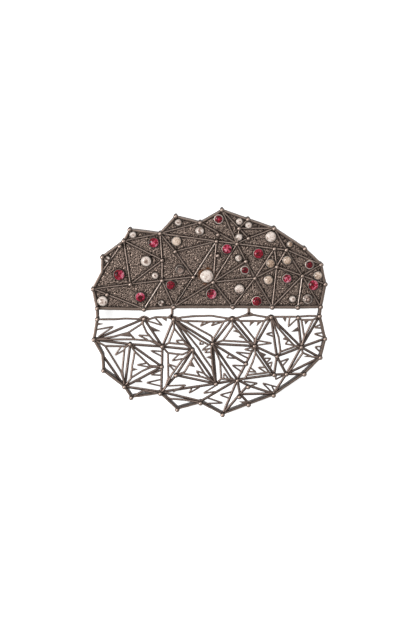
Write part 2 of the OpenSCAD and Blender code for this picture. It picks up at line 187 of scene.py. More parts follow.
# %% [markdown]
# The brooch is charted on squares of a quarter of a millimetre, counted from the slit: x to the right, y up. The
# same chart and the same levels as in the solids place every wire, ball and stone. The joints are where wires
# meet under a ball: 0 to 15 on the rim, 16 to 20 along the slit, the rest inside. Each row has the joint's place on
# the solid half and, where there is one, its mirror place on the open half.

# %% Chart and levels
JOINTS = [
    [-111.9, 4.4, -111.9, -6.5], [-116, 23.8, -115.2, -26.9], [-107, 41, -106.5, -42.5],
    [-106.7, 55.8, -105.7, -57.8], [-85.3, 71.9, -84.5, -74], [-79.3, 83.2, -77.8, -84.9],
    [-48.9, 79.3, -48.6, -80.8], [-33.4, 96.5, -31.7, -96.8], [-8.8, 90.2, -8.4, -90.2], [13, 102.9, 13.6, -102],
    [39.1, 93.5, 39.6, -92], [65.3, 84.4, 64.6, -82.6], [95.8, 64.1, 95.3, -61.3], [112.2, 48.1, 111.4, -44.8],
    [116.3, 28.6, 116.1, -26], [111.8, 6, 110.7, -3.4], [-65, 3.5, -65, -6], [-35.1, 5.8, -35.5, -6.5],
    [23.9, 5.8, 23.3, -6], [63.4, 5.6, 62.3, -4.5], [88.9, 5.4, 89.3, -5], [-46.9, 52.6, -47.2, -54],
    [-78.7, 28.5, -78.9, -31.5], [-46.9, 32.2, -46.7, -33.8], [-33.8, 61.3, -33, -62.5], [-15.6, 35.8, -16.3, -37],
    [7.5, 71.5, 7, -71], [8.8, 57.3], [28.1, 69, 28.5, -67.7], [30.2, 84.4, 30.4, -84], [39.5, 74.5, 39.2, -74],
    [9, 78.1], [4.3, 30.5, 3.7, -31], [37, 51.5, 37, -51], [46.1, 34.6, 45.8, -33.3], [65.6, 64, 65.3, -62],
    [77.5, 62.9, 77.5, -61.3], [67.9, 46, 68.1, -43.7], [93.6, 36.9, 92.5, -34.4], [-101.8, 18.3], [-89.1, 66.5]]
WIRES = [
    [4, 22], [4, 21], [4, 6], [4, 2], [22, 21], [22, 1], [22, 23], [1, 16], [23, 16], [6, 21], [21, 23], [6, 24],
    [6, 26], [6, 8], [24, 26], [24, 25], [23, 25], [23, 17], [25, 17], [25, 26], [17, 32], [8, 28], [9, 28], [9, 29],
    [10, 29], [11, 29], [29, 30], [30, 11], [28, 30], [28, 29], [26, 28], [26, 32], [28, 32], [28, 33], [33, 32],
    [33, 34], [28, 35], [35, 36], [11, 36], [36, 13], [36, 38], [36, 37], [35, 37], [35, 34], [34, 37], [37, 38],
    [37, 19], [34, 18], [34, 19], [34, 32], [32, 18], [38, 19], [38, 20], [38, 15], [38, 13], [38, 14]]
OPEN_WIRES = [
    [36, 12], [3, 4]]
NET_ASIDE = [
    [6, 0.8, 1.6], [8, 0, 1.6], [10, 0, 1.6], [11, 0, 1.6], [28, 0, 0.8], [29, 0.6, 2.6], [30, 0, 1.2]]
LOOPS = [
    [1, [-96, -24], [-81, -20], [-68, -11.5], 16], [1, [-76, -26.5], [-59, -28], 23], [[-80, -20.4], [-73.8, -27.2]],
    [16, [-66.4, -11], [-62.5, -19.7], [-56, -27], 23], [1, [-104, -33.3], [-84, -33.5], 22],
    [[-104, -33.3], [-95, -47.5], [-88, -59], [-85.5, -68], 4], [22, [-84.5, -35], [-86.7, -57.5], [-85.5, -68]],
    [22, [-74.3, -38.7], [-59.3, -52.9], 21], [[-74.3, -38.7], [-76.7, -52], [-78.3, -66], 4],
    [[-78, -65], [-65.6, -57.6], [-57.7, -54.5], 21], [5, [-65.6, -77.8], [-54, -79.8], 6],
    [17, [-34.8, -15.5], [-40.3, -30.2], 23], [[-40.3, -30.2], [-24, -31.5], 25], [[-34.8, -15.5], [-23, -30.7], 25],
    [17, [-22, -21], [-11, -34.7], [-6.3, -42.6], [3, -56], 26], [23, [-41.1, -40.2], [-26.9, -41.8], 25],
    [[-41.1, -40.2], [-40.7, -64.8], [-43.5, -75], 6], [25, [-26.9, -47.4], [-37.2, -61.6], [-42, -71]],
    [25, [-15.5, -44], [-24.5, -59.2], 24], [[-15.5, -44], [-4, -61.6], [3, -67.9], 26],
    [24, [-26, -60.8], [-7, -64], [3, -67.9]], [6, [-39, -86], [-25, -87], [-13, -89], 8],
    [17, [-27, -8], [-3, -8.8], [15.5, -8.6], 18], [[-27, -8], [-21.5, -10], [3, -23.6], 32],
    [[15, -8.8], [4.4, -26], 32], [17, [-26, -15], [-9, -27.5], [0, -32], 32],
    [32, [2, -35], [4, -57.4], [5.6, -67], 26], [32, [11, -48], [12.3, -66], 26],
    [[11, -48], [21.5, -64.5], [24, -66.6]], [[12.3, -66], [24, -66.6], 28], [18, [23.7, -14], [14, -27.8], 32],
    [[14, -27.8], [42, -29.5], 34], [[23.9, -12], [39, -29.4], 34], [18, [31, -8.2], [55.5, -8.2], 19],
    [[31, -8.2], [45.4, -26], 34], [[55.3, -8.4], [47, -25.5], 34], [34, [46.6, -40], [43.8, -49.4], [36, -66], 28],
    [[46.8, -40.5], [60.6, -60.2], 35], [[38, -62.4], [60.6, -59.6]], [19, [69.7, -24], [71.7, -39], 37],
    [19, [69.3, -15], [75.7, -22.3], [85.3, -32.7], 38], [20, [92.9, -7.1], [104.4, -7.1], 15],
    [[92.7, -7.4], [95.4, -24], 38], [[104.4, -7.1], [95.8, -24], 38], [[71.7, -39], [87, -33.5], 38],
    [38, [94, -40], [83.5, -55], 36], [[94, -40], [103, -44], 13],
    [[-70, -6.3], [-67.5, -4.4], [-65, -3.6], [-62, -4.5], [-59.5, -7]],
    [[-41, -4.6], [-35.3, -3.9], [-31.5, -4.9], [-27, -8]],
    [[15.5, -8.6], [19.5, -5.6], [23.3, -3.6], [27.3, -5.2], [31, -8.2]],
    [[55.4, -8.3], [58.5, -4.8], [62.1, -2], [66, -4.6], [69.7, -12.8], [70.5, -16.5]]]
EDGE = [
    0, [-96, -6.5], [-83, -5.8], [-72, -6.2], 16, [-62, -7], [-53, -4.3], [-41, -4.6], 17, [-27, -4.5], [-14, -3.3],
    [3, -3], [17, -5.3], 18, [31, -4.3], [37, -2], [43, -1.8], [56, -4.2], 19, [67, -4], [88, -4], [101, -3], 15]
BRIDGES = [
    [[-36.8, 5], [-36.8, -1], [-38, -5]], [[40, 5], [40, -2.4]]]
BRIDGE_FEET = [
    [[-42.5, -4.8], [-37, 0], [-35.5, -6]], [[32, -4.6], [40, 1.5], [48, -2.8]]]
FORKS = [
    [[-95.5, -13.7], [-113, -17], [-110.5, -23.8]], [[-71.2, -22.4], [-58.5, -23], [-61.5, -26.8]],
    [[-94.1, -42.6], [-87.8, -33.5], [-84.5, -37]], [[-72.4, -52.1], [-62, -50.4], [-58.5, -54.5]],
    [[-46.7, -12.7], [-54, -5], [-62, -8]], [[-33.2, -27.6], [-25.5, -27.5], [-29.3, -31]],
    [[-37.2, -48.1], [-30, -41.6], [-25.6, -45.8]], [[-40.8, -51.3], [-31.5, -54.5], [-34.5, -58]],
    [[-22.9, -72.3], [-43, -73.2], [-36, -79]], [[-5.9, -80.6], [6.5, -73], [9, -78.5]],
    [[-13, -58], [-5.2, -60.6], [-8.7, -63.6]], [[-9, -13.5], [-5, -8.8], [1.5, -8.8]],
    [[2, -13.2], [6, -8.8], [13.5, -9]], [[-9.5, -31.5], [-8, -27.8], [-5, -31.2]],
    [[-7.1, -37.5], [-0.5, -32.2], [1.8, -35.6]], [[-4.4, -39.8], [-0.5, -35.8], [2.6, -39.4]],
    [[35.2, -36.6], [44.5, -34.5], [45, -38.8]], [[15, -60], [14.6, -66.2], [19.6, -66.4]],
    [[47.4, -59.4], [41.6, -55], [38.2, -58.6]], [[49, -54.6], [56.6, -54.6], [58, -60.2]],
    [[63.4, -30.4], [47, -27.5], [46.5, -32.6]], [[76.1, -31.1], [80, -27.4], [85, -32.6]],
    [[79.5, -14], [81, -4], [88, -6]], [[105.2, -14.8], [112, -11.6], [113.8, -15.4]],
    [[105.2, -21.1], [114.6, -19.8], [115, -24.4]], [[106, -34], [114.4, -33.6], [112.6, -40.6]]]
NET_FORKS = [
    [[-58.5, -37.9], [-46.9, -38.7], [-47, -43.8]], [[-58.5, -62], [-48.5, -57.6], [-47.5, -62.6]],
    [[-62.9, -70.1], [-47.6, -66.7], [-48, -73.4]], [[-20.2, -80.6], [-17.4, -76], [-9.5, -74.6]],
    [[26.6, -39.4], [42.3, -41], [40, -46]], [[17.5, -45], [20.8, -41], [28.4, -45.8]],
    [[23.2, -52.6], [36.6, -53.2], [34, -60]], [[62.2, -45.6], [54.6, -45.6], [57.4, -50]],
    [[63.4, -49.2], [58, -51.5], [61, -57]], [[57, -21.1], [64.6, -19.5], [65.2, -24]],
    [[80.1, -45.8], [71, -49.3], [73.5, -53.5]], [[66.6, -66.9], [67.5, -62], [75.5, -62.3]],
    [[11, -82.3], [23.4, -79], [20.2, -85.6]], [[14, -90.4], [-1, -85.4], [-6.5, -91]],
    [[53.6, -70.4], [68.4, -74.4], [63.6, -80]], [[49, -70.7], [35, -68.6], [37, -74.6]],
    [[66.4, -80], [63.2, -73.9], [70.4, -73.6]]]
SPIKES = [
    [[-105.5, -11], [-113.5, -9.6], [-113.5, -13.4]], [[-91.5, -22.8], [-79.8, -20.2], [-78.6, -24]],
    [[-71.2, -56.7], [-77.4, -54.6], [-78, -58.6]], [[-42.3, -8.8], [-48.5, -4.6], [-42, -4.6]],
    [[-13.8, -54.5], [-20, -53], [-17.4, -47.6]], [[-3, -44.5], [2.6, -42.6], [3, -46.6]],
    [[23.5, -18.3], [28, -16.6], [32, -21]], [[29.3, -24], [32.5, -22], [37.6, -27.4]],
    [[40.5, -13.7], [41, -8.4], [46.5, -8.4]], [[47.5, -13.7], [48.5, -8.4], [53.5, -8.4]],
    [[73.3, -26.5], [77, -23.6], [81.5, -28.6]], [[76.5, -9.5], [73, -4.2], [78, -4.2]],
    [[96.5, -12], [95, -7.4], [100.5, -7.4]], [[94.5, -44.2], [100, -42.4], [106, -44.6]],
    [[30, -88.7], [37, -92], [43, -88.4]]]
NET_SPIKES = [
    [[-47.8, -18.6], [-59.5, -12.8], [-54.7, -18.8]], [[-66.4, -69.5], [-79, -69.6], [-71, -65.4]],
    [[57.8, -41.8], [50.4, -38.6], [53, -46]], [[82.3, -19.2], [88.8, -14.2], [90.6, -18.4]]]
RUBIES = [
    [-55.4, 70.3, 2.69], [-90, 38.1, 2.95], [-68.7, 15.7, 2.69], [-38.3, 27.8, 2.42], [9.7, 93.7, 2.42],
    [18, 63.8, 2.64], [49.5, 59.2, 2.7], [36, 42.7, 2.25], [2.5, 18.9, 2.75], [47.9, 11.6, 2.65], [78.1, 34.4, 2.4],
    [100.6, 48.1, 2.3], [104.3, 27.8, 2.8]]
DIAMONDS = [
    [-30.6, 90.4, 1.7], [-76, 78, 1.7], [-101.5, 53.5, 1.6], [-62.9, 51.6, 2.65], [-32.5, 71.6, 2.45],
    [-53.8, 37.1, 1.7], [-106.3, 11.7, 2.6], [-29, 43.5, 2.25], [-47.5, 9.5, 1.6], [-9.2, 82, 2.2],
    [-2.1, 36.6, 3.3], [30.6, 23.6, 2.45], [29.6, 54.6, 1.7], [30.2, 75.6, 1.8], [30.5, 91.3, 1.7],
    [39.8, 87.6, 1.75], [62, 76, 2.7], [81.1, 68.6, 1.6], [78.2, 52.4, 2.3], [61.6, 49.3, 2.3], [59.5, 32.8, 2.35],
    [83.8, 13.7, 1.7], [98.8, 13.7, 2.4], [109.2, 37.3, 2.2]]
# A square's side, the chart's lean, the stretch that undoes the tilt, how much the view widens towards the lens in a
# metre, and the point of the chart that is the middle of the brooch
SQUARE, LEAN, STRETCH, FADE, MIDDLE = 0.25 * MM, math.radians(0.66), 1.016, 0.47, (0.19, -0.95)
# How far the deeper layers are seen too high
NET_DROP, LOOP_DROP = 0.17 * MM, 0.07 * MM
# The joint where the rim bends without a ball, the last joint on the rim, and those along the slit
BEND, RIM_LAST, SLIT = 2, 15, [16, 17, 18, 19, 20]
# Heights in the brooch
BACK_Z, FRONT_Z, PLATE_BACK, PLATE_TOP, RAISED_TOP = 1.2 * MM, 4.2 * MM, 3.0 * MM, 3.8 * MM, 4.13 * MM
NET_LOW, NET_HIGH, LOOP_LOW, LOOP_HIGH = 3.0 * MM, 3.46 * MM, 3.52 * MM, 4.08 * MM
SOLID_BALL_Z, OPEN_BALL_Z = 4.57 * MM, 4.4 * MM
GIRDLE_Z, SETTING_TOP = 4.32 * MM, 4.46 * MM
# A setting's wall, and the room round its stone
WALL, GAP = 0.14 * MM, 0.03 * MM
# Widths in mm, against the photograph. Thorns are bent sharply and held steady, the rest waver a little
RAISED_WIDTH, NET_WIDTH, LOOP_WIDTH, THORN_WIDTH, BRIDGE_WIDTH = 0.42, 0.7, 0.56, 0.46, 0.75
RIM_WIDTH, SLIT_WIDTH, BALL_RADIUS, POST_RADIUS = 0.74, 0.8, 0.625, 0.5
SHARP, STEADY = 0.02, 0.02


def at(point, z=0.0):
    """A point of the chart, which is drawn as the tilted lens sees it: leaning, shortened, smaller downwards."""
    u, v = (point[0] - MIDDLE[0]) * SQUARE, (point[1] - MIDDLE[1]) * SQUARE
    across, up = u * math.cos(LEAN) + v * math.sin(LEAN), (v * math.cos(LEAN) - u * math.sin(LEAN)) * STRETCH
    y = up / (1 + up * FADE)
    return Vector((across * (1 - y * FADE), y, z))


def solid_joint(k, z=0.0):
    return at(JOINTS[k][:2], z)


def open_joint(k, z=0.0):
    return at(JOINTS[k][2:], z)


def net_joint(k, z=0.0):
    """Where the net's wires meet: some a little aside from their ball, and all moved down to where they really lie."""
    shift = next((row[1:] for row in NET_ASIDE if row[0] == k), (0, 0))
    return at((JOINTS[k][2] + shift[0], JOINTS[k][3] + shift[1]), z) - Vector((0, NET_DROP, 0))


def laid(paths, drop, z=0.0):
    """Paths of a deeper layer, through joints and points of the chart, moved down to where it really lies."""
    return [[(open_joint(s, z) if isinstance(s, int) else at(s, z)) - Vector((0, drop, 0)) for s in path]
            for path in paths]


solid_rim = [solid_joint(k) for k in range(RIM_LAST + 1)]
open_rim = [open_joint(k) for k in range(RIM_LAST, -1, -1)]
slit_edge = [solid_joint(k) for k in reversed(SLIT)]
print("joints:", len(JOINTS), "wires:", len(WIRES), "loops:", len(LOOPS), "stones:", len(RUBIES) + len(DIAMONDS))

# %% [markdown]
# Silver on such a piece is blackened with liver of sulphur, then rubbed: the high places come back to a brownish
# grey shine, and the low ones stay dark. The shade therefore follows the height in the piece, or a share that the
# piece carries at its points, and two sizes of blotch break it up. On the rim, the skin, the settings and the
# collars that share also holds painted shade or a painted highlight. A metal shows its surroundings times its
# colour, so the colours are picked for this pale room.

# %% Oxidised silver
def oxidised(name, dark, rubbed, low, high, rough=0.45, blotch=0.5, carried=False):
    """Blackened and rubbed silver: dark at low and below, rubbed at high and above. Both are heights in mm, or
    values of the brightness share where the piece carries it."""
    material, tree, metal = surfaced(name)
    place = add(tree, "ShaderNodeTexCoord").outputs["Object"]
    unit = 1 if carried else MM
    level = (add(tree, "ShaderNodeAttribute", attribute_name="rub_and_painted_light").outputs["Fac"] if carried
             else add(tree, "ShaderNodeSeparateXYZ", {0: place}).outputs["Z"])
    height = add(tree, "ShaderNodeMapRange", {"Value": level, "From Min": low * unit, "From Max": high * unit,
                 "To Min": 0.08, "To Max": 0.85})
    # Blotches about 1.2 mm and 0.25 mm across
    wide = add(tree, "ShaderNodeTexNoise", {"Vector": place, "Scale": 800.0, "Detail": 3.0})
    fine = add(tree, "ShaderNodeTexNoise", {"Vector": place, "Scale": 4000.0, "Detail": 2.0})
    patch = maths(tree, "MULTIPLY_ADD", wide, 0.4, fine)
    worn = maths(tree, "MULTIPLY_ADD", patch, blotch, height)
    shade = add(tree, "ShaderNodeMapRange", {"Value": worn, "From Min": 0.7 * blotch,
                "From Max": 0.7 * blotch + 0.9})
    gloss = add(tree, "ShaderNodeMapRange", {"Value": shade, "To Min": rough + 0.2, "To Max": rough - 0.05})
    relief = add(tree, "ShaderNodeBump", {"Strength": 0.25, "Distance": 0.03 * MM, "Height": fine})
    feed(tree, metal, {"Base Color": mixed(tree, shade, linear(dark), linear(rubbed)), "Roughness": gloss,
                       "Metallic": 1.0, "Normal": relief})
    return material


wire_silver = oxidised("oxidised_silver_wire", "#1a1210", "#b5a196", 3.92, 4.13)
# A lighter copy of the wire silver: a painted highlight for four of the raised wires
highlit_wire_silver = oxidised("highlit_silver_wire", "#1a1210", "#cbbab0", 3.9, 4.12, rough=0.4)
loop_silver = oxidised("oxidised_silver_loops", "#1f1512", "#98857b", 3.82, 4.07)
net_silver = oxidised("oxidised_silver_net", "#1b120f", "#897870", 3.2, 3.45)
rim_silver = oxidised("oxidised_silver_rim", "#1b1210", "#ac988c", 0, 1, carried=True)
ball_silver = oxidised("rubbed_silver_granules", "#1a1210", "#bca89c", 0.45, 0.95, carried=True)
bezel_silver = oxidised("rubbed_silver_bezels", "#1a1210", "#dccfc5", 0, 1.1, rough=0.4, carried=True)
pin_silver = oxidised("worn_silver_pin", "#6a605b", "#c9c0b8", -1.0, 2.0, rough=0.32)
print("metals:", [m.name for m in bpy.data.materials])

# %% [markdown]
# All the wires are drawn silver, bent and soldered. The real work starts from a drawn path, and so does this: the
# paths go in as bare edges, and one node tree rounds their bends, lets the hand waver a little, and sweeps an oval
# section along them. The sizes are inputs, so the same tree makes raised wires, net, loops and thorns.

# %% The drawn wire tree
def growing_tree(name, sizes):
    """A node tree that grows metal on a mesh and takes these sizes, the ids of its inputs, and their sockets."""
    tree, ids = bpy.data.node_groups.new(name, "GeometryNodeTree"), {}
    for label, value in (("Geometry", None), *sizes.items(), ("Metal", None)):
        kind = label.replace("Metal", "Material") if value is None else "Int" if isinstance(value, int) else "Float"
        made = tree.interface.new_socket(label, in_out="INPUT", socket_type="NodeSocket" + kind)
        ids[label] = made.identifier
        if value is not None:
            made.default_value = value
    tree.interface.new_socket("Geometry", in_out="OUTPUT", socket_type="NodeSocketGeometry")
    return tree, ids, add(tree, "NodeGroupInput").outputs


def drawn_wire_tree():
    tree, ids, given = growing_tree("drawn_wire", {
        "Half Width": 0.25 * MM, "Half Height": 0.25 * MM, "Bend Radius": 0.3 * MM, "Step": 0.35 * MM,
        "Waver": 0.05 * MM, "Thick And Thin": 0.12, "Seed": 0.0})
    path = add(tree, "GeometryNodeMeshToCurve", {"Mesh": given["Geometry"]})
    bent = add(tree, "GeometryNodeFilletCurve", {"Curve": path, "Radius": given["Bend Radius"],
               "Count": 3, "Limit Radius": True}, mode="POLY")
    even = add(tree, "GeometryNodeResampleCurve", {"Curve": bent, "Length": given["Step"]}, mode="LENGTH")
    position = add(tree, "GeometryNodeInputPosition")
    # The hand wavers over about 2 mm, and the wire's thickness over about 1 mm
    drift = add(tree, "ShaderNodeTexNoise", {"Vector": position, "W": given["Seed"], "Scale": 500.0, "Detail": 1.0},
                noise_dimensions="4D")
    centred = add(tree, "ShaderNodeVectorMath", {0: drift.outputs["Color"], 1: (0.5, 0.5, 0.5)}, operation="SUBTRACT")
    flat = add(tree, "ShaderNodeVectorMath", {0: centred, 1: (2.0, 2.0, 0.3)}, operation="MULTIPLY")
    push = add(tree, "ShaderNodeVectorMath", {0: flat, "Scale": given["Waver"]}, operation="SCALE")
    drawn = add(tree, "GeometryNodeSetPosition", {"Geometry": even, "Offset": push})
    swell = add(tree, "ShaderNodeTexNoise", {"Vector": position, "W": given["Seed"], "Scale": 1000.0, "Detail": 1.0},
                noise_dimensions="4D")
    change = maths(tree, "SUBTRACT", swell, 0.5)
    share = maths(tree, "MULTIPLY_ADD", change, given["Thick And Thin"], 1.0)
    thick = add(tree, "GeometryNodeSetCurveRadius", {"Curve": drawn, "Radius": share})
    level = add(tree, "GeometryNodeSetCurveNormal", {"Curve": thick}, mode="Z_UP")
    ring = add(tree, "GeometryNodeCurvePrimitiveCircle", {"Resolution": 10, "Radius": 1.0})
    size = add(tree, "ShaderNodeCombineXYZ", {0: given["Half Width"], 1: given["Half Height"], 2: 1.0})
    section = add(tree, "GeometryNodeTransform", {"Geometry": ring, "Scale": size})
    swept = add(tree, "GeometryNodeCurveToMesh", {"Curve": level, "Profile Curve": section,
                "Fill Caps": True})
    smooth = add(tree, "GeometryNodeSetShadeSmooth", {"Geometry": swept})
    real = add(tree, "GeometryNodeRealizeInstances", {"Geometry": smooth})
    metal = add(tree, "GeometryNodeSetMaterial", {"Geometry": real, "Material": given["Metal"]})
    add(tree, "NodeGroupOutput", {0: metal})
    return tree, ids


def finished(piece, material_slot, *nodes):
    """A finished piece: it rides on the body and stands for the nodes given, which are hidden. material_slot is not
    used.
    """
    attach(piece, "root")
    if nodes:
        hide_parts(*nodes)
    piece.data.calc_loop_triangles()
    heights = [v.co.z / MM for v in piece.data.vertices]
    print(f"{piece.name}: {len(piece.data.loop_triangles)} triangles, z {min(heights):.2f} to {max(heights):.2f} mm")


def grown_by(tree, ids, name, mesh, values):
    """Runs a node tree on a mesh and returns the result as a plain mesh object."""
    seed = placed(name + "_path", mesh)
    grower = seed.modifiers.new("grow", "NODES")
    grower.node_group = tree
    for key, value in values.items():
        grower[ids[key]] = value
    evaluated = seed.evaluated_get(bpy.context.evaluated_depsgraph_get())
    plain = bpy.data.meshes.new_from_object(evaluated)
    seed.modifiers.remove(grower)
    bpy.data.objects.remove(seed)
    plain.name = name
    return placed(name, plain)


wire_tree, wire_ids = drawn_wire_tree()


def wires(name, paths, width, low, high, metal, seed, bend=0.3, waver=0.05):
    """Bends a wire of this width along each path, between two heights. Width, bend and waver are in mm."""
    mesh = bpy.data.meshes.new(name + "_path")
    points, edges = [], []
    for path in paths:
        edges += [(len(points) + i, len(points) + i + 1) for i in range(len(path) - 1)]
        points += path
    mesh.from_pydata(points, edges, [])
    piece = grown_by(wire_tree, wire_ids, name, mesh, {
        "Half Width": width / 2 * MM, "Half Height": (high - low) / 2, "Bend Radius": bend * MM,
        "Waver": waver * MM, "Seed": seed, "Metal": metal})
    finished(piece, "silver")


# %% Raised wires, net, loops and thorns
# The raised wires reach 0.2 mm into the plate. Four of them get a lighter copy of the wire silver: a painted highlight
# along their whole length.
middle = (RAISED_TOP + PLATE_TOP) / 2 - 0.1 * MM
HIGHLIT_WIRES = [[23, 16], [17, 25], [25, 26], [38, 20]]
for name, group, metal in (("raised_wires", [w for w in WIRES if w not in HIGHLIT_WIRES], wire_silver),
                           ("highlit_wires", HIGHLIT_WIRES, highlit_wire_silver)):
    wires(name, [[solid_joint(a, middle), solid_joint(b, middle)] for a, b in group], RAISED_WIDTH,
          2 * middle - RAISED_TOP, RAISED_TOP, metal, 1.0)
middle = (NET_LOW + NET_HIGH) / 2
wires("net_wires", [[net_joint(a, middle), net_joint(b, middle)] for a, b in WIRES + OPEN_WIRES], NET_WIDTH, NET_LOW,
      NET_HIGH, net_silver, 2.0, waver=0.03)
# A layer's drop, its lower and upper side, and its metal
NET, FRONT = (NET_DROP, NET_LOW, NET_HIGH, net_silver), (LOOP_DROP, LOOP_LOW, LOOP_HIGH, loop_silver)
for name, paths, width, (drop, low, high, metal), seed, bend, waver in (
        ("net_thorns", [[b, a, c] for a, b, c in NET_FORKS], THORN_WIDTH, NET, 3.0, SHARP, STEADY),
        ("front_loops", LOOPS, LOOP_WIDTH, FRONT, 4.0, 0.6, 0.05),
        ("slit_edge_wire", [EDGE], LOOP_WIDTH, FRONT, 5.0, 0.8, 0.05),
        ("loop_thorns", [[b, a, c] for a, b, c in FORKS], THORN_WIDTH, FRONT, 6.0, SHARP, STEADY)):
    wires(name, laid(paths, drop, (low + high) / 2), width, low, high, metal, seed, bend, waver)

# %% [markdown]
# The filled thorns, the two bridges over the slit and their splayed feet are sawn from sheet or bent from thick
# strip. Each is a flat outline given a thickness, with its edges rounded as a file leaves them.

# %% Flat pieces with filed edges
def filed(name, outlines, low, high, metal, edge=0.08):
    work = bmesh.new()
    for outline in outlines:
        turn = sum(a.x * b.y - b.x * a.y for a, b in zip(outline, outline[1:] + outline[:1]))
        corners = [work.verts.new((p.x, p.y, low)) for p in (outline if turn > 0 else outline[::-1])]
        face = work.faces.new(corners)
        top = [e for e in bmesh.ops.extrude_face_region(work, geom=[face])["geom"] if isinstance(e, bmesh.types.BMVert)]
        bmesh.ops.translate(work, verts=top, vec=(0, 0, high - low))
    outwards(work)
    bmesh.ops.bevel(work, geom=work.edges[:], offset=edge * MM, segments=2, profile=0.6, affect="EDGES",
                    clamp_overlap=True)
    mesh = as_mesh(work, name, metal)
    mesh.shade_smooth()
    finished(placed(name, mesh), "silver")


def widened(points, width):
    """Outline of a strip of this width along the points."""
    sides = []
    for i, p in enumerate(points):
        run = (points[min(i + 1, len(points) - 1)] - points[max(i - 1, 0)]).normalized()
        sides.append(Vector((-run.y, run.x, 0)) * width / 2)
    return [p + s for p, s in zip(points, sides)] + [p - s for p, s in reversed(list(zip(points, sides)))]


for name, outlines, (drop, low, high, metal) in (
        ("filled_thorns", SPIKES, FRONT), ("net_filled_thorns", NET_SPIKES, NET), ("bridge_feet", BRIDGE_FEET, FRONT)):
    filed(name, laid(outlines, drop), low, high, metal)
filed("bridges", [widened(path, BRIDGE_WIDTH * MM) for path in laid(BRIDGES, LOOP_DROP)], LOOP_LOW, LOOP_HIGH,
      loop_silver, edge=0.16)

# %% [markdown]
# The rim is a 3 mm deep strip bent at each joint round both halves, and a second strip stands along the slit edge
# of the plate. Both are one loop of cross-sections: a sharp-cornered path, cut into short steps so that the lip can
# waver, with a rounded lip. At a corner the section is mitred, so the wall keeps its thickness. The section's points
# carry how bright they are: bright on the lip, less on the outside, and almost none on the inner wall, where the black
# stays and painted shade darkens it further.
# Towards the top and the bottom the rim's outer side is drawn in a little, to follow the photograph's outline.

# %% Rim strip
def strip(name, corners, closed, width, low, high, lip=0.12, flatten=1.0):
    """A strip on edge along the corners. Flatten draws its outer side in towards the slit, to that share."""
    n = len(corners)
    spine = []
    for i in range(n if closed else n - 1):
        a, b = corners[i], corners[(i + 1) % n]
        along = (b - a).normalized()
        before = ((a - corners[i - 1]).normalized() if closed or i else along)
        mitre = (along + before).normalized()
        spine.append((a, Vector((-mitre.y, mitre.x, 0)) / max(mitre.dot(along), 0.3)))
        count = max(2, round((b - a).length / (0.5 * MM)))
        spine += [(a.lerp(b, k / count), Vector((-along.y, along.x, 0))) for k in range(1, count)]
    if not closed:
        spine.append((corners[-1], Vector((-along.y, along.x, 0))))
    half, r = width / 2 * MM, lip * MM
    section = [(-half, low + r), (-half, high - r), (-half + r * 0.3, high - r * 0.3), (-half + r, high),
               (half - r, high), (half - r * 0.3, high - r * 0.3), (half, high - r), (half, low + r),
               (half - r, low), (-half + r, low)]
    # Lip rubbed bright; the inner wall nearly black, blackened silver with painted shade
    rub_and_painted_light = [0.02, 0.03, 0.06, 0.5, 0.95, 0.5, 0.15, 0.05, 0.05, 0.02]
    points = []
    for place, side in spine:
        waver = noise.noise(place * 700) * 0.05 * MM
        lift = noise.noise(place * 500 + Vector((3, 1, 7))) * 0.03 * MM - 0.03 * MM
        for s, z in section:
            point = place + side * (s + waver)
            drawn = flatten if s > 0 else 1.0
            points.append(Vector((point.x, point.y * drawn, z + (lift if z > (low + high) / 2 else 0))))
    m, count = len(section), len(spine)
    faces = [(i * m + j, (i + 1) % count * m + j, (i + 1) % count * m + (j + 1) % m, i * m + (j + 1) % m)
             for i in range(count if closed else count - 1) for j in range(m)]
    if not closed:
        faces += [tuple(range(m)), tuple(range((count - 1) * m, count * m))[::-1]]
    mesh = bpy.data.meshes.new(name)
    mesh.from_pydata(points, [], faces)
    mesh.attributes.new("rub_and_painted_light", "FLOAT", "POINT").data.foreach_set("value", rub_and_painted_light * count)
    turn_outwards(mesh)
    mesh.materials.append(rim_silver)
    mesh.set_sharp_from_angle(angle=math.radians(50))
    finished(placed(name, mesh), "silver")


strip("rim_strip", solid_rim + open_rim, True, RIM_WIDTH, BACK_Z, FRONT_Z, lip=0.1, flatten=0.988)
strip("slit_strip", [solid_rim[-1]] + slit_edge + [solid_rim[0]], False, SLIT_WIDTH, BACK_Z + 0.05 * MM,
      FRONT_Z - 0.05 * MM)
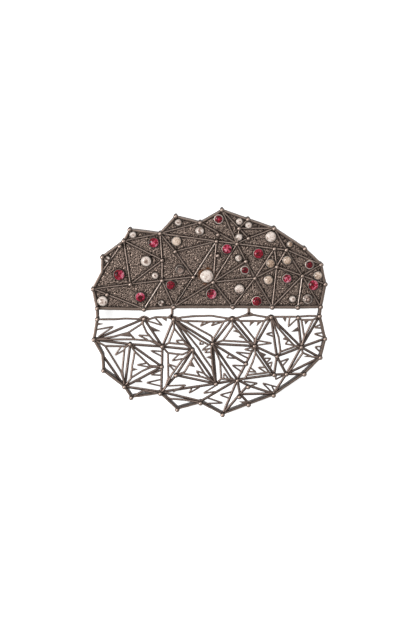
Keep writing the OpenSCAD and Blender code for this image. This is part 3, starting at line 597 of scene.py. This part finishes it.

# %% [markdown]
# On every joint sits a granule, a ball of melted silver on a short post. One node tree sets them out: a post and
# a ball at each point, the ball a little larger or smaller from one to the next. Each ball carries its own height
# from -1 to 1 as the share that sets its brightness, so that its crown is rubbed bright and its sides stay dark. A
# point carries the length of its post, because the posts on the rim are long and the ones on the plate short.

# %% Granules on posts
def granule_tree():
    tree, ids, given = growing_tree("granules_on_posts", {
        "Ball Radius": BALL_RADIUS * MM, "Post Radius": POST_RADIUS * MM, "Uneven": 0.05, "Seed": 3})
    length = add(tree, "GeometryNodeInputNamedAttribute", {"Name": "post_length"}, data_type="FLOAT")
    low = maths(tree, "SUBTRACT", 1.0, given["Uneven"])
    vary = add(tree, "FunctionNodeRandomValue", {2: low, 3: 1.0, "Seed": given["Seed"]}, data_type="FLOAT")
    size = maths(tree, "MULTIPLY", given["Ball Radius"], vary.outputs[1])
    ball = add(tree, "GeometryNodeMeshUVSphere", {"Segments": 20, "Rings": 12, "Radius": 1.0})
    height = add(tree, "ShaderNodeSeparateXYZ", {0: add(tree, "GeometryNodeInputPosition")}).outputs["Z"]
    ball = add(tree, "GeometryNodeStoreNamedAttribute", {"Geometry": ball, "Name": "rub_and_painted_light", "Value": height},
               data_type="FLOAT", domain="POINT")
    balls = add(tree, "GeometryNodeInstanceOnPoints", {"Points": given["Geometry"], "Instance": ball,
                "Scale": size})
    post = add(tree, "GeometryNodeMeshCylinder", {"Vertices": 20, "Radius": 1.0, "Depth": 1.0})
    hung = add(tree, "GeometryNodeTransform", {"Geometry": post, "Translation": (0, 0, -0.5)})
    shape = add(tree, "ShaderNodeCombineXYZ", {0: given["Post Radius"], 1: given["Post Radius"], 2: length})
    posts = add(tree, "GeometryNodeInstanceOnPoints", {"Points": given["Geometry"], "Instance": hung,
                "Scale": shape})
    both = add(tree, "GeometryNodeJoinGeometry")
    tree.links.new(balls.outputs[0], both.inputs[0])
    tree.links.new(posts.outputs[0], both.inputs[0])
    real = add(tree, "GeometryNodeRealizeInstances", {"Geometry": both})
    smooth = add(tree, "GeometryNodeSetShadeSmooth", {"Geometry": real})
    metal = add(tree, "GeometryNodeSetMaterial", {"Geometry": smooth, "Material": given["Metal"]})
    add(tree, "NodeGroupOutput", {0: metal})
    return tree, ids


seats = []
for k in range(len(JOINTS)):
    if k == BEND:
        continue
    foot = PLATE_TOP - 0.1 * MM if k > SLIT[-1] else BACK_Z + 0.2 * MM
    seats.append((solid_joint(k, SOLID_BALL_Z), SOLID_BALL_Z - foot))
    if len(JOINTS[k]) == 4:
        foot = NET_LOW + 0.05 * MM if k > RIM_LAST else BACK_Z + 0.2 * MM
        seats.append((open_joint(k, OPEN_BALL_Z), OPEN_BALL_Z - foot))
mesh = bpy.data.meshes.new("joints")
mesh.from_pydata([place for place, _ in seats], [], [])
mesh.attributes.new("post_length", "FLOAT", "POINT").data.foreach_set("value", [length for _, length in seats])
tree, ids = granule_tree()
finished(grown_by(tree, ids, "granules", mesh, {"Metal": ball_silver}), "silver")

# %% [markdown]
# The plate of the solid half is sheet silver whose skin is grainy, as if cast against sand or stamped with a
# punch: pits and specks of a quarter of a millimetre. A bump would vanish at the edge and in the exported mesh, so
# the grain is real: a fine grid whose heights come from two sizes of noise. Its points carry how bright they are:
# dark in the pits, where a cloth doesn't reach, and dark along wires, settings and the rim, where the black stays
# and painted shade is added. A brown stain left by glue or wear lies round the largest stone. The skin's ragged
# edge is hidden under the rim and the settings.

# %% Plate
PLATE = solid_rim + slit_edge
STONES = [(f"{kind}_{i + 1:02}", at(s), s[2] * MM)
          for kind, table in (("ruby", RUBIES), ("diamond", DIAMONDS)) for i, s in enumerate(table)]
# The grid's cell, and how far from other metal the skin is kept low and dark: blackened, with painted shade
CELL, REACH = 0.145 * MM, 0.4 * MM


def grain(x, y):
    """Height of the skin above the plate: lumps of 0.4 mm and sharper grit of 0.2 mm on them."""
    p = Vector((x, y, 0)) / MM
    lumps = noise.noise(p * 2.4 + Vector((7, 3, 1)))
    grit = noise.noise(p * 5.6 + Vector((1, 9, 4)))
    return max(-0.11, min(0.13, 0.05 * lumps + 0.24 * grit)) * MM


def clear_of_metal():
    """For each grid point within REACH of a wire, post, setting or rim: its distance from that metal's edge."""
    edges = [(solid_joint(a), solid_joint(b), 0.25 * MM) for a, b in WIRES]
    edges += [(a, b, 0.4 * MM) for a, b in zip(PLATE, PLATE[1:] + PLATE[:1])]
    spots = [(a.lerp(b, k / n), r)
             for a, b, r in edges for n in [int((b - a).length / (0.1 * MM)) + 1] for k in range(n)]
    spots += [(solid_joint(k), 0.55 * MM) for k in range(len(JOINTS)) if k != BEND]
    for _, c, d in STONES:
        spots += [(c + Vector((math.cos(k / 5), math.sin(k / 5), 0)) * d / 2, 0.0) for k in range(32)]
    found = {}
    for spot, r in spots:
        i0, j0, n = (spot.x - lows.x) / CELL, (spot.y - lows.y) / CELL, (REACH + r) / CELL
        for i in range(math.ceil(i0 - n), math.floor(i0 + n) + 1):
            for j in range(math.ceil(j0 - n), math.floor(j0 + n) + 1):
                gap = math.hypot(i - i0, j - j0) * CELL - r
                if gap < found.get((i, j), REACH):
                    found[i, j] = gap
    return found


lows = Vector((min(p.x for p in PLATE), min(p.y for p in PLATE), 0))
near_metal = clear_of_metal()
stained = next(c for name, c, _ in STONES if name == "diamond_11")
work = bmesh.new()
rub_and_painted_light, stain = work.verts.layers.float.new("rub_and_painted_light"), work.verts.layers.float.new("stain")
grid = {}


def corner(i, j):
    """A point of the skin. Close to other metal it is sunk and kept dark, blackened and with painted shade; elsewhere
    its heights are rubbed.
    """
    if (i, j) not in grid:
        x, y = lows.x + i * CELL, lows.y + j * CELL
        height, free = grain(x, y), max(0, near_metal.get((i, j), REACH)) / REACH
        v = grid[i, j] = work.verts.new((x, y, PLATE_TOP - 0.02 * MM + height - 0.06 * MM * (1 - free)))
        # Near wires, posts, settings and rim the colour is darkened: patina, and painted shade where those parts shade
        # the skin
        v[rub_and_painted_light] = max(0, min(1, 0.34 + height / (0.065 * MM))) * (0.2 + 0.8 * free)
        ring = (Vector((x, y, 0)) - stained).length / MM
        v[stain] = max(0, min(1, 2.5 - ring)) * max(0, noise.noise(Vector((x, y, 0)) * 900) * 2 + 0.5)
    return grid[i, j]


for j in range(int((max(p.y for p in PLATE) - lows.y) / CELL)):
    y = lows.y + (j + 0.5) * CELL
    crossings = sorted((b.x - a.x) * (y - a.y) / (b.y - a.y) + a.x
                       for a, b in zip(PLATE, PLATE[1:] + PLATE[:1]) if (a.y > y) != (b.y > y))
    near = [(c.x, (c.y - y) ** 2, (d / 2 - 0.1 * MM) ** 2) for _, c, d in STONES if abs(c.y - y) < d]
    for start, stop in zip(crossings[::2], crossings[1::2]):
        for i in range(math.ceil((start - lows.x) / CELL - 0.5), math.floor((stop - lows.x) / CELL - 0.5) + 1):
            x = lows.x + (i + 0.5) * CELL
            if all((x - cx) ** 2 + dy2 > r2 for cx, dy2, r2 in near):
                work.faces.new((corner(i, j), corner(i + 1, j), corner(i + 1, j + 1), corner(i, j + 1)))
rim_edges = [e for e in work.edges if e.is_boundary]
walls = bmesh.ops.extrude_edge_only(work, edges=rim_edges)["geom"]
low_verts = [g for g in walls if isinstance(g, bmesh.types.BMVert)]
for v in low_verts:
    v.co.z = PLATE_TOP - 0.15 * MM
low_set = set(low_verts)
low_edges = [g for g in walls if isinstance(g, bmesh.types.BMEdge) and low_set.issuperset(g.verts)]
print("grid faces:", len(work.faces), "open edges:", len(low_edges))

# %% Close the skin from below
bmesh.ops.triangle_fill(work, edges=low_edges, use_beauty=False)
outwards(work)
skin_metal = oxidised("grainy_plate_silver", "#060403", "#c9b1a3", 0.25, 0.8, rough=0.42, blotch=0.9, carried=True)
tree = skin_metal.node_tree
shader = tree.nodes["Principled BSDF"]
clean = shader.inputs["Base Color"].links[0].from_socket
brown = add(tree, "ShaderNodeAttribute", attribute_name="stain").outputs["Fac"]
feed(tree, shader, {"Base Color": mixed(tree, brown, clean, linear("#9a5a28"))})
mesh = as_mesh(work, "grainy_skin", skin_metal)
mesh.shade_smooth()
finished(placed("grainy_skin", mesh), "silver")

# %% [markdown]
# Behind the skin is the plain sheet itself, with a round hole under each stone so that light and a cleaning brush
# can reach it. A flat curve with holes in it is filled and given the sheet's thickness in one go.

# %% Back sheet with open backs under the stones
# The hole as a share of the seat's radius, and the sheet's upper side, just inside the skin
BORE, SHEET_TOP = 0.76, PLATE_TOP - 0.12 * MM


def seat_radius(diameter):
    return diameter / 2 - WALL


sheet_curve = bpy.data.curves.new("back_sheet", "CURVE")
sheet_curve.dimensions = "2D"
sheet_curve.fill_mode = "BOTH"
outlines = [PLATE] + [[c + Vector((math.cos(t), math.sin(t), 0)) * BORE * seat_radius(d)
                       for t in [k * math.tau / 32 for k in range(32)]] for _, c, d in STONES]
for outline in outlines:
    spline = sheet_curve.splines.new("POLY")
    spline.points.add(len(outline) - 1)
    for point, p in zip(spline.points, outline):
        point.co = (p.x / MM, p.y / MM, 0, 1)
    spline.use_cyclic_u = True
sheet_curve.extrude = (SHEET_TOP - PLATE_BACK) / 2 / MM
flat_sheet = placed("back_sheet_curve", sheet_curve)
mesh = bpy.data.meshes.new_from_object(flat_sheet.evaluated_get(bpy.context.evaluated_depsgraph_get()))
bpy.data.objects.remove(flat_sheet)
mesh.transform(Matrix.Translation((0, 0, (SHEET_TOP + PLATE_BACK) / 2)) @ Matrix.Scale(MM, 4))
work = bmesh.new()
work.from_mesh(mesh)
bmesh.ops.remove_doubles(work, verts=work.verts, dist=0.002 * MM)
outwards(work)
print("back sheet closed:", all(e.is_manifold for e in work.edges))
work.to_mesh(mesh)
work.free()
mesh.materials.clear()
mesh.materials.append(oxidised("plain_sheet_silver", "#5a504b", "#a99c94", 2.0, 3.4, rough=0.42))
mesh.name = "back_sheet"
finished(placed("back_sheet", mesh), "silver")

# %% [markdown]
# Each stone sits in a tube: a short piece of thin pipe, soldered on, with a ledge cut inside for the stone and its
# upper edge pressed inwards over the stone's girdle. Turning one profile round the tube's axis gives it all, the
# lip, the ledge and the open back, as a closed ring.

# %% Tube settings
def turned(work, centre, profile, shine, count=36):
    """Turns a closed profile of (radius, height) round a vertical axis. The points carry the brightness share that
    shine gives.
    """
    rub_and_painted_light = work.verts.layers.float["rub_and_painted_light"]
    rings = []
    for t in [k * math.tau / count for k in range(count)]:
        rings.append([work.verts.new((centre.x + r * math.cos(t), centre.y + r * math.sin(t), z)) for r, z in profile])
        for v in rings[-1]:
            v[rub_and_painted_light] = shine(t, v.co.z)
    for a, b in zip(rings, rings[1:] + rings[:1]):
        for i in range(len(profile)):
            j = (i + 1) % len(profile)
            work.faces.new((a[i], b[i], b[j], a[j]))


# How bright each bezel's lip is, rubbed bright and partly a painted highlight, and how far its lip laps over the stone
# in mm, rubies first
BEZELS = [
    (0.2, 0.02), (0.15, 0.02), (0.2, 0.02), (0.3, 0.02), (1, 0.12), (0.35, 0.02), (0.3, 0.02), (1, 0.15), (0.3, 0.02),
    (0.8, 0.05), (0.5, 0.04), (1, 0.15), (0.3, 0.02), (0.5, 0.03), (0.5, 0.03), (0.35, 0.03), (0.6, 0.02), (0.5, 0.02),
    (0.5, 0.03), (0.7, 0.02), (0.4, 0.02), (0.3, 0.02), (0.5, 0.05), (0.8, 0.02), (0.6, 0.02), (0.5, 0.03), (0.5, 0.02),
    (0.6, 0.03), (0.5, 0.02), (0.8, 0.02), (0.4, 0.03), (0.45, 0.03), (0.4, 0.03), (0.6, 0.03), (0.5, 0.02), (0.9, 0.1),
    (0.6, 0.02)]
work = bmesh.new()
work.verts.layers.float.new("rub_and_painted_light")
for (name, centre, diameter), (bright, lap) in zip(STONES, BEZELS):
    outer, seat = diameter / 2, seat_radius(diameter)

    # The lip is painted lighter towards the left, where the key light falls: a painted highlight
    def shine(t, z):
        return bright * (1 - 0.35 * math.cos(t)) if z > SETTING_TOP - 0.1 * MM else 0.05

    ledge, hole = GIRDLE_Z - 0.27 * seat, BORE * seat
    turned(work, centre, [
        (outer, PLATE_TOP - 0.1 * MM), (outer, SETTING_TOP - 0.07 * MM), (outer - 0.03 * MM, SETTING_TOP - 0.02 * MM),
        (outer - 0.08 * MM, SETTING_TOP), (seat - lap * 0.6 * MM, SETTING_TOP + 0.01 * MM),
        (seat - lap * MM, SETTING_TOP - 0.01 * MM),
        (seat, GIRDLE_Z + 0.02 * MM), (seat, ledge), (hole, ledge - 0.02 * MM), (hole, PLATE_BACK + 0.02 * MM),
        (hole + 0.02 * MM, PLATE_BACK), (hole + 0.1 * MM, PLATE_BACK + 0.01 * MM),
        (hole + 0.1 * MM, PLATE_TOP - 0.1 * MM)], shine)
outwards(work)
mesh = as_mesh(work, "tube_settings", bezel_silver)
mesh.set_sharp_from_angle(angle=math.radians(40))
finished(placed("tube_settings", mesh), "silver", "silver_frame")

# %% [markdown]
# The five posts on the slit edge stand in short collars, seen as dark bumps below the balls: blackened, and painted
# dark below the shoulder as shade under the balls. They are turned rings too, with a rounded shoulder.

# %% Collars on the slit edge
work = bmesh.new()
work.verts.layers.float.new("rub_and_painted_light")
# Below its shoulder a collar is painted dark: blackened silver and painted shade under its ball
for k in SLIT:
    turned(work, solid_joint(k), [
        (0.45 * MM, 3.06 * MM), (0.7 * MM, 3.06 * MM), (0.7 * MM, 4.02 * MM), (0.66 * MM, 4.11 * MM),
        (0.58 * MM, 4.16 * MM), (0.45 * MM, 4.17 * MM)], lambda t, z: 0.1 if z < 4.1 * MM else 0.5)
outwards(work)
mesh = as_mesh(work, "slit_collars", bezel_silver)
mesh.shade_smooth()
finished(placed("slit_collars", mesh), "silver")

# %% [markdown]
# The stones are round brilliants: an eight-sided table, eight stars, eight kites and sixteen upper halves above the
# girdle, and eight mains with sixteen lower halves below it. Every facet is flat, so the points are placed from the
# cut's proportions and joined ring by ring, each stone turned a little differently in its setting.

# %% Brilliant cut
# The cut's proportions: radius and height above the girdle of each ring, as shares of the stone's radius
TABLE, STARS, UPPER, LOWER = (0.56, 0.4), (0.77, 0.245), (1.0, 0.06), (1.0, 0.0)
HALVES, CULET, HEART = (0.24, -0.62), (0.0, -0.84), (0.0, 0.4)
# Below the girdle: tone, spread, the side with a painted highlight, and how much
BELOW_GIRDLE = 0.3, 0.1, 0, 0


def brilliant(name, centre, r, turn, gem_material, look):
    def ring(count, shares, offset=0.0):
        radius, height = shares
        return [centre + Vector((radius * r * math.cos(t), radius * r * math.sin(t), GIRDLE_Z + height * r - centre.z))
                for t in [turn + (k + offset) * math.tau / count for k in range(count)]]
    points = (ring(8, TABLE, 0.5) + ring(8, STARS) + ring(16, UPPER) + ring(16, LOWER) + ring(8, HALVES, 0.5)
              + ring(1, CULET) + ring(1, HEART))
    # Where each ring starts: table, stars, upper and lower girdle, halves, culet and the middle of the table
    T, S, U, L, H, C, M = 0, 8, 16, 32, 48, 56, 57
    faces = [(M, T + k, T + (k + 1) % 8) for k in range(8)]
    for k in range(8):
        # The neighbours in a ring of eight, and four points that follow each other in a ring of sixteen
        n, p = (k + 1) % 8, (k - 1) % 8
        z, a, b, c = (2 * k - 1) % 16, 2 * k, 2 * k + 1, (2 * k + 2) % 16
        faces += [(T + p, S + k, T + k), (T + k, S + k, U + b, S + n), (S + k, U + a, U + b), (S + k, U + z, U + a)]
        faces += [(U + a, L + a, L + b, U + b), (U + b, L + b, L + c, U + c)]
        faces += [(L + a, H + k, L + b), (L + b, H + k, L + c), (L + a, H + p, C, H + k)]
    mesh = bpy.data.meshes.new(name + "_cut")
    mesh.from_pydata(points, [], faces)
    turn_outwards(mesh)
    tones, fold = [], look[9] if len(look) > 9 else 1
    for face in mesh.polygons:
        way = face.center - centre
        angle = math.degrees(math.atan2(way.y, way.x))
        if face.center.z > GIRDLE_Z + 0.39 * r:
            base, spread, side, push = look[0], look[1], look[3], look[4]
        elif face.center.z > GIRDLE_Z + 0.05 * r:
            base, spread, side, push = look[5], look[6], look[7], look[8]
        else:
            base, spread, side, push = BELOW_GIRDLE
        # Each facet's tone is painted light: glints and reflections, lighter towards the side given
        # Most facets are near the lightest tone, and a few are much darker
        tone = base + spread * (1 - 2.5 * random.random() ** 2) + push * math.cos(fold * math.radians(angle - side))
        tones += [look[2] if v == M else tone for v in face.vertices]
    mesh.attributes.new("tone", "FLOAT", "CORNER").data.foreach_set("value", tones)
    mesh.materials.append(gem_material)
    return placed(name + "_cut", mesh)


def gem(name, shades, ior, gloss=0.5):
    """A cut stone. The tone that each facet carries, and flecks 0.25 mm across, pick its shade, darkest first."""
    material, tree, body = surfaced(name)
    tone = add(tree, "ShaderNodeAttribute", attribute_name="tone").outputs["Fac"]
    place = add(tree, "ShaderNodeTexCoord").outputs["Object"]
    flecks = add(tree, "ShaderNodeTexNoise", {"Vector": place, "Scale": 4000.0, "Detail": 1.0})
    change = add(tree, "ShaderNodeMapRange", {"Value": flecks, "From Min": 0.3, "From Max": 0.7,
                 "To Min": -0.3, "To Max": 0.3})
    ramp = add(tree, "ShaderNodeValToRGB", {"Fac": maths(tree, "ADD", tone, change)})
    bands = ramp.color_ramp.elements
    while len(bands) < len(shades):
        bands.new(0.5)
    for i, shade in enumerate(shades):
        bands[i].position, bands[i].color = i / (len(shades) - 1), linear(shade)
    # The lamps light half of the shade, and the stone glows with four tenths of it, so it isn't shaded like a bead.
    # A deep red shows a white film where it mirrors the lamps, so it has half the gloss of the pale stones.
    feed(tree, body, {"Base Color": mixed(tree, 0.5, ramp, (0, 0, 0, 1)), "Emission Color": ramp,
                      "Emission Strength": 0.4, "Roughness": 0.22, "IOR": ior, "Specular IOR Level": gloss,
                      "Transmission Weight": 0.1})
    return material


GEMS = {
    "ruby": gem("ruby", ["#1c0309", "#640e18", "#a01629", "#d62c64", "#f4bcc6"], 1.76, 0.25),
    "white": gem("white_sapphire", ["#3b2d27", "#7a6358", "#b39c8f", "#e0ccc0", "#fdf0e7"], 1.77),
    "champagne": gem("champagne_sapphire", ["#45352b", "#826b5a", "#b3967f", "#d8bea8", "#f0dccc"], 1.77)}

# %% [markdown]
# No two stones look alike in the photograph: some are clear, some clouded, chipped or turned away from the light.
# A facet of a real brilliant shows light that has gone through the stone and back, and that is too fine for a
# quick picture. So each facet carries one tone, and the tone is painted light: painted glints and reflections, and on
# many stones a painted highlight on one side. The table is cut into eight sectors, which all blend into one tone in
# the middle, and that stands for what is seen through it.

# %% How each stone looks
# One row for each stone, rubies first. Table: tone, spread, tone in the middle, side with a painted highlight in
# degrees, how much. Crown: tone, spread, side, how much. A tenth value of 2 paints two opposite sides lighter.
LOOKS = [
    [0.5, 0.28, 0.85, 170, 0.3, 0.4, 0.2, -30, 0.22], [0.38, 0.2, 0.35, 0, 0.4, 0.42, 0.2, -20, 0.3],
    [0.28, 0.15, 0.1, 90, 0.15, 0.5, 0.22, 90, 0.25], [0.32, 0.08, 0.3, 200, 0.03, 0.32, 0.1, 200, 0.05],
    [0.15, 0.08, 0.8, 90, 0.03, 0.2, 0.15, 90, 0.05], [0.58, 0.3, 0.8, 160, 0.3, 0.46, 0.22, 60, 0.12],
    [0.26, 0.08, 0.2, 90, 0.03, 0.42, 0.12, 90, 0.06], [0.16, 0.08, 0.12, 0, 0.05, 0.16, 0.1, 0, 0.08],
    [0.42, 0.25, 0.15, -45, 0.4, 0.42, 0.25, -30, 0.42], [0.2, 0.12, 0.45, -90, 0.08, 0.28, 0.15, 180, 0.05],
    [0.52, 0.25, 0.7, 110, 0.15, 0.42, 0.25, -50, 0.35], [0.2, 0.08, 0.15, 0, 0.04, 0.18, 0.08, 0, 0.04],
    [0.45, 0.22, 0.2, -40, 0.2, 0.5, 0.22, -20, 0.25], [0.55, 0.3, 0.3, 90, 0.25, 0.78, 0.2, 180, 0.1],
    [0.75, 0.25, 0.5, 180, 0.1, 0.85, 0.2, 90, 0.1], [0.3, 0.2, 0.1, 65, 0.5, 0.4, 0.2, 65, 0.75, 2],
    [0.65, 0.15, 0.05, 120, 0.08, 0.85, 0.18, 200, 0.08], [0.86, 0.08, 0.85, 200, 0.05, 0.82, 0.12, 200, 0.08],
    [0.6, 0.25, 0.25, 180, 0.1, 0.8, 0.25, 140, 0.12], [0.75, 0.35, 0.6, 140, 0.12, 0.82, 0.3, 120, 0.12],
    [0.25, 0.12, 0.2, 0, 0.05, 0.12, 0.12, -80, 0.4], [0.3, 0.2, 0.4, 60, 0.45, 0.3, 0.25, 60, 0.65, 2],
    [0.7, 0.2, 0.2, 0, 0.15, 0.65, 0.2, 0, 0.35, 2], [0.88, 0.3, 0.8, 90, 0.03, 0.92, 0.25, 140, 0.05],
    [0.75, 0.25, 0.7, 90, 0.1, 0.66, 0.25, 90, 0.25], [0.6, 0.2, 0.3, 180, 0.1, 0.7, 0.25, 180, 0.15],
    [0.85, 0.18, 0.8, 90, 0.05, 0.82, 0.22, 90, 0.1], [0.7, 0.3, 0.3, 180, 0.2, 0.8, 0.25, 150, 0.12],
    [0.85, 0.15, 0.5, 90, 0.15, 0.82, 0.2, 180, 0.1], [0.88, 0.28, 0.75, 150, 0.04, 0.9, 0.25, 150, 0.05],
    [0.5, 0.25, 0.5, 180, 0.3, 0.5, 0.3, 180, 0.3], [0.72, 0.12, 0.72, 140, 0.08, 0.62, 0.18, 100, 0.08],
    [0.5, 0.12, 0.5, 60, 0.06, 0.45, 0.15, 90, 0.08], [0.5, 0.2, 0.85, 180, 0.1, 0.7, 0.25, 180, 0.15],
    [0.8, 0.25, 0.5, 160, 0.1, 0.78, 0.3, 140, 0.15], [0.05, 0.05, 0.7, -45, 0.05, 0.14, 0.2, 160, 0.3],
    [0.68, 0.25, 0.55, 60, 0.12, 0.68, 0.3, 60, 0.25]]
CHAMPAGNE = [f"diamond_{k:02}" for k in (5, 18, 19, 20, 21, 24)]
random.seed(11)
for (name, centre, diameter), look in zip(STONES, LOOKS):
    kind = "ruby" if name.startswith("ruby") else "champagne" if name in CHAMPAGNE else "white"
    stone = brilliant(name, centre, seat_radius(diameter) - GAP, random.uniform(0, math.tau / 8), GEMS[kind], look)
    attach(stone, "root")
    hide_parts(name)
print("stones cut:", len(STONES))

# %% [markdown]
# The pin on the back isn't seen in the photograph. It keeps its solid, and gets the brighter finish of silver that
# clothes and fingers keep clean.

# %% Pin
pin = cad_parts["pin_fitting"]
pin.data.materials.clear()
pin.data.materials.append(pin_silver)

# %% [markdown]
# Last, the box of what is shown is printed, to be set beside the box of the solids printed at the start.

# %% Print the box of what is shown
shown_box = [list(corner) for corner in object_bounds()]
print("shown box in mm:", [[round(v / MM, 2) for v in corner] for corner in shown_box])
